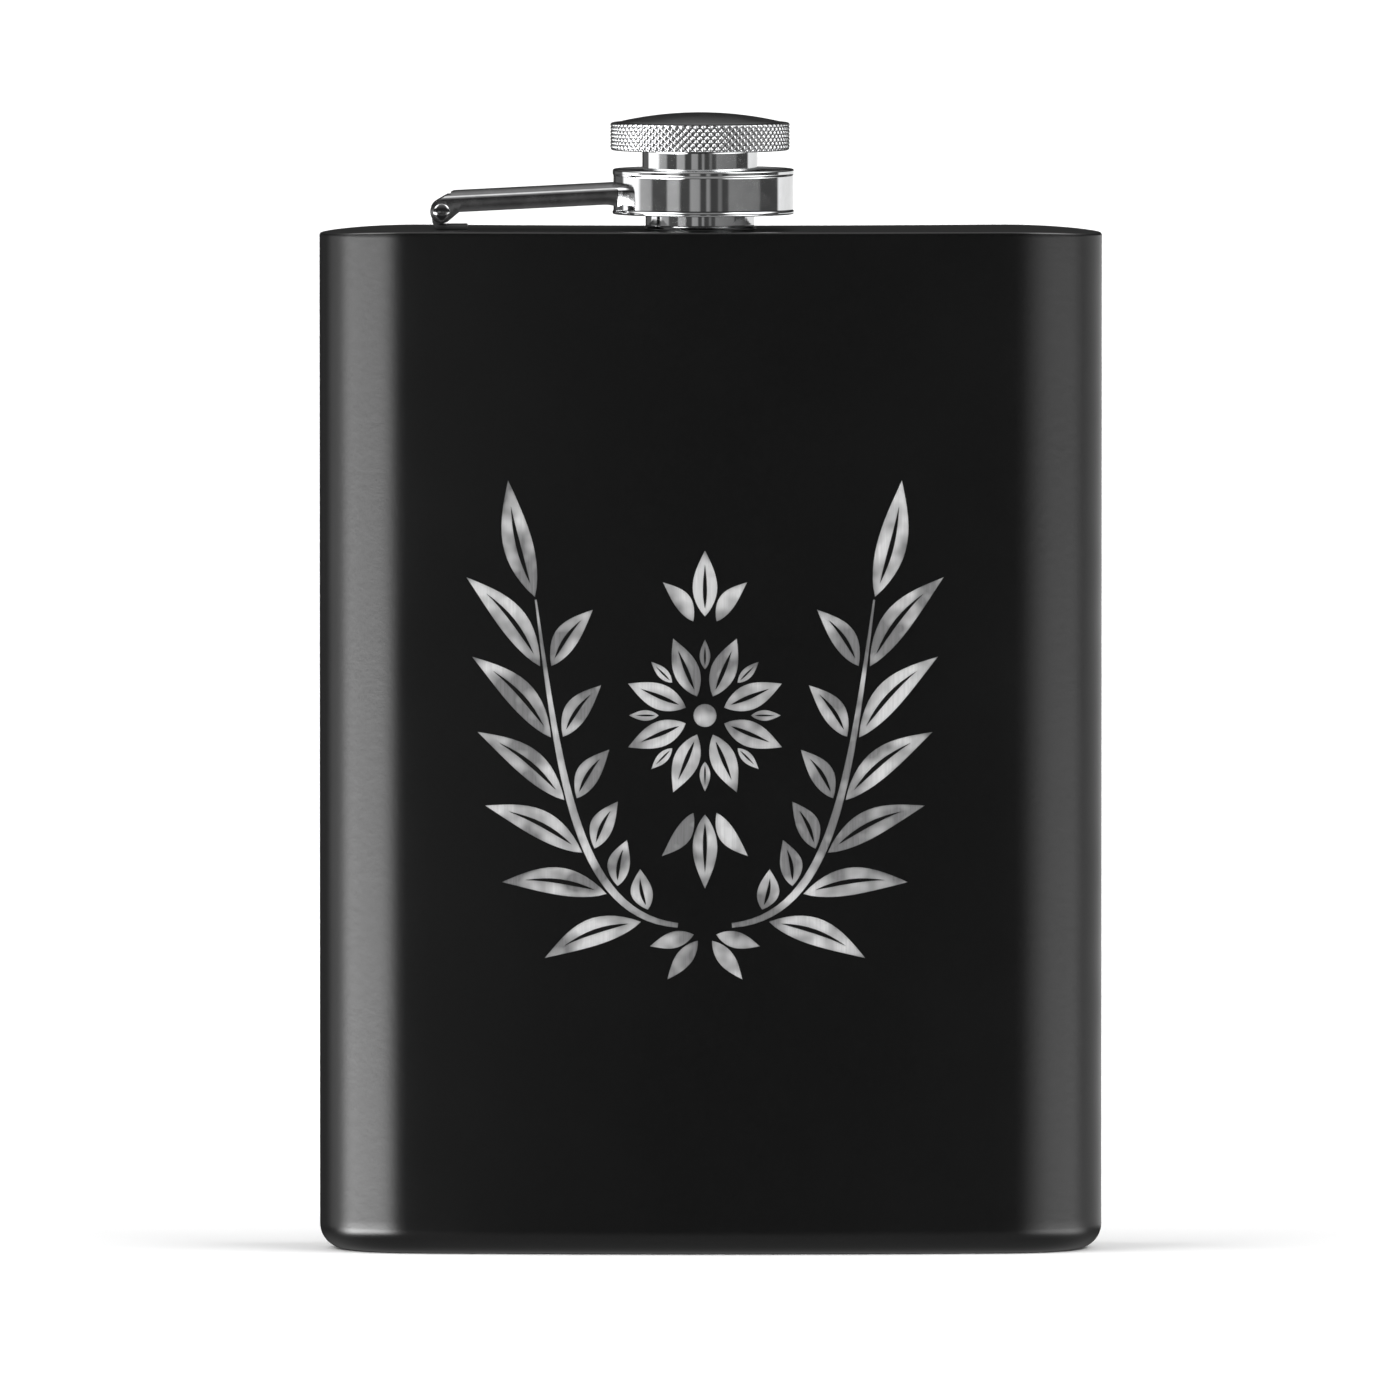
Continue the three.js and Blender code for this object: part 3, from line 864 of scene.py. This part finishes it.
def cap_shell():
    """The domed head with its diamond knurl."""
    low, high = heights("cap_shell")
    rim_top = 12.95
    wall = 0.7
    dome_radius = 9.75
    dome_start = rim_top + 0.1
    knurl_pitch = 2 * math.pi * CAP_RADIUS / KNURL_COLUMNS

    def triangle(value):
        """A wave that rises from 0 to 1 and falls back over each whole number."""
        return 1 - abs(2 * (value % 1) - 1)

    def relief(angle, radius, height):
        """The depth of the knurl's crossed grooves, which run out at the rim's upper and lower edge."""
        if radius < CAP_RADIUS - 0.3 or not low <= height <= rim_top:
            return 0
        across = KNURL_COLUMNS * angle / (2 * math.pi)
        up = (height - low) / knurl_pitch
        raised = min(triangle(across + up), triangle(across - up))
        fade = min(1, (height - low) / 0.2, (rim_top - height) / 0.3)
        return KNURL_DEPTH * (1 - min(1, raised * 1.25)) * max(0, fade)

    def dome(scale, lift):
        """The dome's line from the axis outwards."""
        count = 14
        rise = high - dome_start
        shares = [k / (count - 1) for k in range(count)]
        return [(dome_radius * scale * s, dome_start + lift + rise * (1 - s * s)) for s in shares]

    side_low = low + 0.14
    side_height = rim_top - low - 0.34
    side = [(CAP_RADIUS, side_low + side_height * k / 32) for k in range(33)]
    profile = [
        *dome(0.96, -wall),
        (CAP_RADIUS - wall, rim_top - wall - 0.2),
        (CAP_RADIUS - wall, low),
        (CAP_RADIUS - 0.22, low),
        *side,
        (CAP_RADIUS - 0.1, rim_top - 0.06),
        (CAP_RADIUS - 0.32, rim_top),
        (dome_radius + 0.25, rim_top + 0.01),
        *dome(1, 0)[::-1],
    ]
    profile = [Vector(point) for point in profile]
    return turned("cap_head", profile, NECK, steps=KNURL_COLUMNS * 8, relief=relief)


def seal():
    """The disc, with the ring that the neck's lip has pressed into it."""
    low, high = heights("cap_seal")
    radius = 6
    dent = 0.12
    profile = [
        (0, low + dent / 2),
        (NECK_BORE - 0.2, low + dent / 2),
        (NECK_BORE, low + dent),
        (NECK_CORE - 0.2, low + dent),
        (NECK_CORE - 0.05, low),
        (radius, low),
        (radius, high),
        (0, high),
    ]
    return turned("cap_seal_disc", rounded(profile, 0.12), NECK, steps=96)


def washer():
    """The washer on the skirt's end, wider than the ring's hole."""
    low, high = heights("cap_retaining_washer")
    inner = SKIRT_RADIUS + 0.04
    outer = 8.9
    profile = [(inner, low), (outer, low), (outer, high), (inner, high)]
    return turned("retaining_washer", rounded(profile, 0.12), NECK, steps=96)


def ring():
    """The pressed ring: a wall with a bead along each edge, and a roof with the hole for the skirt."""
    low, high = heights("lid_ring")
    inside = RING_RADIUS - 0.8
    outer = RING_RADIUS
    roof_top = high - 0.12
    roof_underside = high - 0.7
    profile = [
        (inside, low),
        (outer - 0.08, low),
        (outer, low + 0.12),
        (outer, low + 0.35),
        (outer - 0.1, low + 0.5),
        (outer - 0.1, high - 0.75),
        (outer, high - 0.6),
        (outer, high - 0.12),
        (outer - 0.14, high),
        (outer - 0.6, high),
        (outer - 0.75, roof_top),
        (RING_HOLE, roof_top),
        (RING_HOLE, roof_underside),
        (inside, roof_underside),
    ]
    return turned("lid_ring_pressed", rounded(profile, 0.1), RING, steps=160)


finished(neck(), "flask", "neck", "polished_steel", polished)
finished(cap_core(), "cap", "cap_core", "polished_steel", polished)
finished(cap_shell(), "cap", "cap_shell", "knurled_steel", knurled, sharp=60)
finished(seal(), "cap", "cap_seal", "silicone", silicone)
finished(washer(), "cap_carriage", "cap_retaining_washer", "polished_steel", polished)
finished(ring(), "arm", "lid_ring", "polished_steel", polished)


# ---- Hinge and arm, measured from the pin --------------------------------------------------------


def level(u, v, w):
    """A point u to the right of the pin, v above it and w towards the back."""
    return PIN + Vector((u, w, v))


def sloped(u, v, w):
    """The same, in the arm's own tilted directions."""
    across = u * math.cos(ARM_SLOPE) - v * math.sin(ARM_SLOPE)
    rise = u * math.sin(ARM_SLOPE) + v * math.cos(ARM_SLOPE)
    return level(across, rise, w)


def arm():
    """A folded channel whose side walls turn on the pin and deepen where they meet the ring."""
    reach = RING.x - PIN.x - RING_RADIUS + 1.4
    half = ARM_WIDTH / 2
    shoulder = ARM_TOP - ARM_CROWN
    wall_top = shoulder - 0.25
    foot = -2
    bend = 0.45
    steps = 40

    def skin(inset):
        """The section's outer or inner line, from the front wall's foot over the top to the back wall's."""
        side = half - inset
        arch = [(-side + bend, shoulder + 0.32), (-side * 0.55, ARM_TOP), (0, ARM_TOP)]
        crown = [bezier(arch, k / 8) for k in range(9)]
        fold = [(-side, wall_top), (-side, shoulder + 0.2), crown[0]]
        front = [(-side, foot), (-side, wall_top)]
        front += [tuple(bezier(fold, k / 6)) for k in range(1, 6)]
        front += [(point[0], point[1] - inset * 0.2) for point in crown]
        front = [(w, v - inset * 0.8 if v > 0 else v) for w, v in front]
        return front + [(-w, v) for w, v in front[-2::-1]]

    section = skin(0) + skin(ARM_SHEET)[::-1]
    stations = [-EAR_RADIUS - 0.5 + (reach + EAR_RADIUS + 1.5) * k / steps for k in range(steps + 1)]
    points = []
    for u in stations:
        points += [sloped(u, v, w) for w, v in section]
    faces = grid_faces(len(stations), len(section))
    faces.append(tuple(range(len(section))))
    faces.append(tuple(range(len(points) - len(section), len(points))))
    channel = tidy(new_object("lid_arm_folded", points, faces))

    # Seen from the front, the arm keeps to this shape.
    above = ARM_TOP + 0.3
    end = reach + 0.4
    side = [(2.2, above)]
    side += arc((0, 0), EAR_RADIUS, 120, 300, 28)
    side += [(2.1, ARM_UNDERSIDE)]
    flare = [(reach - 2.4, ARM_UNDERSIDE), (reach - 1.3, ARM_UNDERSIDE), (reach - 0.7, -0.6), (end, -0.8)]
    side += [tuple(bezier(flare, k / 12)) for k in range(13)]
    side += [(end, above)]
    combined(channel, prism("side", side, -8, 8, sloped), "INTERSECT")

    # The web is cut away between the ears, to leave room for the knuckle.
    left, right, low, high = -2.4, 1.2, -0.3, 3.7
    room = [(left, low), (right, low), (right, high), (left, high)]
    inner = half - ARM_SHEET
    combined(channel, prism("room", room, -inner, inner, sloped), "DIFFERENCE")

    hole = circle((0, 0), PIN_HOLE, 30)
    combined(channel, prism("hole", hole, -half - 1, half + 1, level), "DIFFERENCE")

    space = circle((RING.x, RING.y), RING_RADIUS - 0.06, 120)
    cutter = prism("space", space, PLATE_TOP - 5, PLATE_TOP + 20, lambda u, v, w: Vector((u, v, w)))
    combined(channel, cutter, "DIFFERENCE")
    return tidy(eased(tidy(channel), 0.07))


def bracket():
    """The foot on the top plate and the sheet rolled from it round the pin."""
    half_sheet = (KNUCKLE_RADIUS - PIN_HOLE) / 2
    curl = PIN_HOLE + half_sheet
    foot = PLATE_TOP + FOOT_GAP - PIN.z + half_sheet
    heel = (-0.1, foot)
    path = [(3.1, foot), (1.4, foot), heel]
    path += [tuple(bezier([heel, (-curl, foot), (-curl, -0.4)], k / 6)) for k in range(1, 6)]
    path += arc((0, 0), curl, 200, -35, 26)
    left, right = [], []
    for i, point in enumerate(path):
        ahead = Vector(path[min(i + 1, len(path) - 1)]) - Vector(path[max(i - 1, 0)])
        across = crossways(ahead).normalized() * half_sheet
        left.append(tuple(Vector(point) + across))
        right.append(tuple(Vector(point) - across))
    half = KNUCKLE_WIDTH / 2
    return eased(prism("hinge_bracket_rolled", left + right[::-1], -half, half, level), 0.06)


def pin():
    """A rivet with domed heads, turned about Y."""
    head = ARM_WIDTH / 2 + 0.06
    end = PIN_LENGTH / 2
    edge = head + 0.12
    dome = [(PIN_HEAD, head), (PIN_HEAD, edge)]
    angles = (0.35, 0.7, 1.05, 1.35)
    dome += [(PIN_HEAD * math.cos(a), edge + (end - edge) * math.sin(a)) for a in angles]
    profile = [(0, end), *dome[::-1], (PIN_RADIUS, head), (PIN_RADIUS, -head)]
    profile += [(radius, -along) for radius, along in dome] + [(0, -end)]
    obj = turned("hinge_rivet", rounded(profile, 0.08, steps=3), Vector((0, 0, 0)), steps=64)
    obj.data.transform(Matrix.Translation(PIN) @ Matrix.Rotation(math.pi / 2, 4, "X"))
    return obj


finished(arm(), "arm", "lid_arm", "polished_steel", arm_steel)
finished(bracket(), "flask", "hinge_bracket", "polished_steel", bracket_steel)
finished(pin(), "flask", "hinge_pin", "polished_steel", pin_steel)


# ---- Floor, light and camera, in metres ----------------------------------------------------------

FLOOR_RADIUS = 12
CAMERA_DISTANCE = 4
CAMERA_ELEVATION = math.radians(3)
VIEW_WIDTH = 0.17
AIM = Vector((NECK.x * MM, 0, 0.0667))
BRIGHTEST = 8


def studio_floor():
    """A plain white floor, which the shiny pieces don't mirror."""
    bpy.ops.mesh.primitive_circle_add(vertices=96, radius=FLOOR_RADIUS, fill_type="NGON")
    floor = bpy.context.object
    floor.name = "floor"
    nodes = Nodes("pale_floor", Roughness=0.9)
    nodes.color(nodes.mixed(nodes.noise(3, detail=2), (0.94, 0.94, 0.94), (0.96, 0.96, 0.96)))
    floor.data.materials.append(nodes.material)
    floor.visible_glossy = False


def studio_light():
    """A dark room with low softboxes on both sides, lamps overhead and pale cards at eye height.

    The dark keeps the coated front black, the softboxes give it a bright band on each side, and the cards
    give the polished steel its stripes. The camera itself sees a plain white backdrop.
    """
    world = bpy.data.worlds.new("studio")
    bpy.context.scene.world = world
    world.use_nodes = True
    tree = world.node_tree
    tree.nodes.clear()

    def node(kind, **settings):
        made = tree.nodes.new(kind)
        for setting, value in settings.items():
            setattr(made, setting, value)
        return made

    def math_node(operation, *values):
        made = node("ShaderNodeMath", operation=operation)
        for k, value in enumerate(values):
            if isinstance(value, (int, float)):
                made.inputs[k].default_value = value
            else:
                tree.links.new(value, made.inputs[k])
        return made.outputs[0]

    def ramp(value, stops):
        """A curve through [position, level] stops, with levels up to BRIGHTEST."""
        made = node("ShaderNodeValToRGB")
        tree.links.new(value, made.inputs[0])
        elements = made.color_ramp.elements
        elements.remove(elements[1])
        elements[0].position = stops[0][0]
        for position, _ in stops[1:]:
            elements.new(position)
        for element, (_, level) in zip(elements, stops):
            element.color = (level / BRIGHTEST,) * 3 + (1,)
        return math_node("MULTIPLY", made.outputs[0], BRIGHTEST)

    def around(stops):
        """Stops given in degrees, as shares of a turn from the back."""
        return [((degrees + 180) / 360, level) for degrees, level in stops]

    outwards = node("ShaderNodeTexCoord").outputs["Generated"]
    parts = node("ShaderNodeSeparateXYZ")
    tree.links.new(outwards, parts.inputs[0])
    x, y, z = parts.outputs
    azimuth = math_node("ARCTAN2", x, math_node("MULTIPLY", y, -1))
    turn = math_node("MULTIPLY_ADD", azimuth, 0.5 / math.pi, 0.5)
    height = math_node("MULTIPLY_ADD", z, 0.5, 0.5)

    # Here and below: degrees to the right of the front, and the brightness there.
    softboxes = [
        (-180, 0.0),
        (-150, 0.01),
        (-128, 0.01),
        (-112, 0.01),
        (-101, 1.1),
        (-90, 7.8),
        (-60, 8.0),
        (-46, 7.2),
        (-36, 5.6),
        (-24, 0.02),
        (-15, 0.0),
        (15, 0.0),
        (24, 0.08),
        (30, 0.6),
        (38, 0.9),
        (48, 1.5),
        (60, 1.9),
        (76, 1.75),
        (90, 2.05),
        (101, 1.1),
        (118, 0.04),
        (150, 0.01),
        (180, 0.0),
    ]
    # Overhead lights on both sides keep the floor white.
    lamps = [(-120, 0), (-95, 6), (-50, 6), (-32, 0), (32, 0), (50, 6), (95, 6), (120, 0)]
    # The cards stand at eye height, where the upright polished walls mirror them.
    cards = [
        (-158, 0.01),
        (-150, 0.12),
        (-128, 0.12),
        (-123, 1.8),
        (-93, 1.8),
        (-88, 0.6),
        (-72, 0.5),
        (-68, 0.08),
        (-49, 0.07),
        (-46, 0.6),
        (-32, 0.55),
        (-29, 0.05),
        (-18, 0.06),
        (-16, 0.45),
        (-5, 0.4),
        (-3, 0.05),
        (3, 0.05),
        (5, 0.4),
        (8, 0.3),
        (10, 0.04),
        (18, 0.05),
        (20, 0.22),
        (23, 0.2),
        (25, 0.05),
        (31, 0.06),
        (34, 0.28),
        (76, 0.22),
        (80, 0.05),
        (110, 0.05),
        (114, 1.3),
        (150, 1.1),
    ]
    # The same at each height, from 0 straight down over 0.5 at the horizon to 1 straight up. The softboxes
    # end below the horizon, so that the flat top plate doesn't mirror them.
    softbox_heights = [(0.28, 0), (0.35, 2.8), (0.447, 2.8), (0.459, 0)]
    lamp_heights = [(0.66, 0), (0.78, 1), (0.92, 1), (0.97, 0)]
    card_heights = [(0.447, 0), (0.459, 1), (0.492, 1), (0.504, 0)]
    room = [
        (0, 0.4),
        (0.25, 0.4),
        (0.42, 0.035),
        (0.62, 0.035),
        (0.75, 0.2),
        (0.85, 0.32),
        (0.94, 0.35),
        (0.965, 1.3),
        (1, 1.3),
    ]
    strength = ramp(height, room)
    for sideways, upright in ((softboxes, softbox_heights), (lamps, lamp_heights), (cards, card_heights)):
        part = math_node("MULTIPLY", ramp(turn, around(sideways)), ramp(height, upright))
        strength = math_node("ADD", strength, part)

    lights = node("ShaderNodeBackground")
    tree.links.new(strength, lights.inputs["Strength"])
    backdrop = node("ShaderNodeBackground")
    backdrop.inputs["Strength"].default_value = 1.0
    seen = node("ShaderNodeLightPath").outputs["Is Camera Ray"]
    mix = node("ShaderNodeMixShader")
    tree.links.new(seen, mix.inputs[0])
    tree.links.new(lights.outputs[0], mix.inputs[1])
    tree.links.new(backdrop.outputs[0], mix.inputs[2])
    tree.links.new(mix.outputs[0], node("ShaderNodeOutputWorld").inputs["Surface"])


def camera():
    """Looks at the flask's front from a little above, as in the photo."""
    data = bpy.data.cameras.new("camera")
    data.sensor_width = 36
    data.lens = data.sensor_width * CAMERA_DISTANCE / VIEW_WIDTH
    data.clip_end = 50
    obj = bpy.data.objects.new("camera", data)
    bpy.context.scene.collection.objects.link(obj)
    back = Vector((0, -math.cos(CAMERA_ELEVATION), math.sin(CAMERA_ELEVATION)))
    obj.location = AIM + back * CAMERA_DISTANCE
    obj.rotation_euler = (-back).to_track_quat("-Z", "Y").to_euler()
    bpy.context.scene.camera = obj


studio_floor()
studio_light()
camera()
bpy.context.scene.view_settings.view_transform = "Standard"
